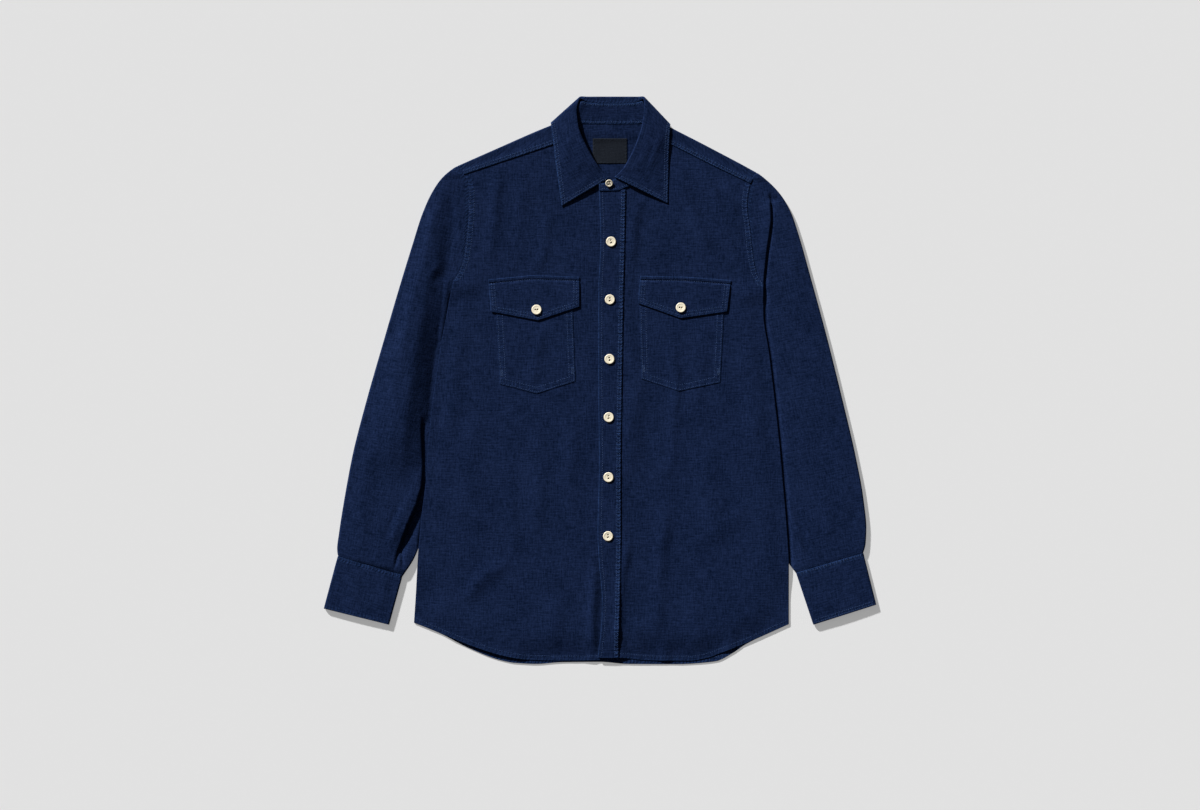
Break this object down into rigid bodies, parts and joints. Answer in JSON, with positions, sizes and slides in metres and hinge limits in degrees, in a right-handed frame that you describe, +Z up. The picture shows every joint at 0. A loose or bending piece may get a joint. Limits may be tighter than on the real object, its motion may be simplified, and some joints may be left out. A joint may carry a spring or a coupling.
{
  "type": "long-sleeved shirt laid flat",
  "caption": "Long-sleeved button-front shirt in indigo chambray, laid flat, with point collar, flap chest pockets, yoke and curved hem.",
  "frame": {"origin": "on the surface the shirt lies on, below the middle of its outline", "axes": "+Y from hem to collar, +Z up from the surface towards the shirt's front, +X towards the wearer's left sleeve"},
  "size_m": [0.7838, 0.8057, 0.0119],
  "materials": {
    "indigo": "matte slubby plain weave, faded at the seams",
    "shell_white": "satin cream",
    "label_ink": "close satin weave"
  },
  "bodies": {
    "root": {"back": "indigo", "yoke": "indigo", "front_right": "indigo", "front_left": "indigo", "placket": "indigo", "sleeve_right": "indigo", "sleeve_left": "indigo", "cuff_right": "indigo", "cuff_left": "indigo", "collar_band": "indigo", "collar_leaf": "indigo", "pocket_right": "indigo", "pocket_left": "indigo", "flap_right": "indigo", "flap_left": "indigo", "label": "label_ink", "button_front_1": "shell_white", "button_front_2": "shell_white", "button_front_3": "shell_white", "button_front_4": "shell_white", "button_front_5": "shell_white", "button_front_6": "shell_white", "button_collar": "shell_white", "button_flap_right": "shell_white", "button_flap_left": "shell_white"}
  },
  "joints": []
}
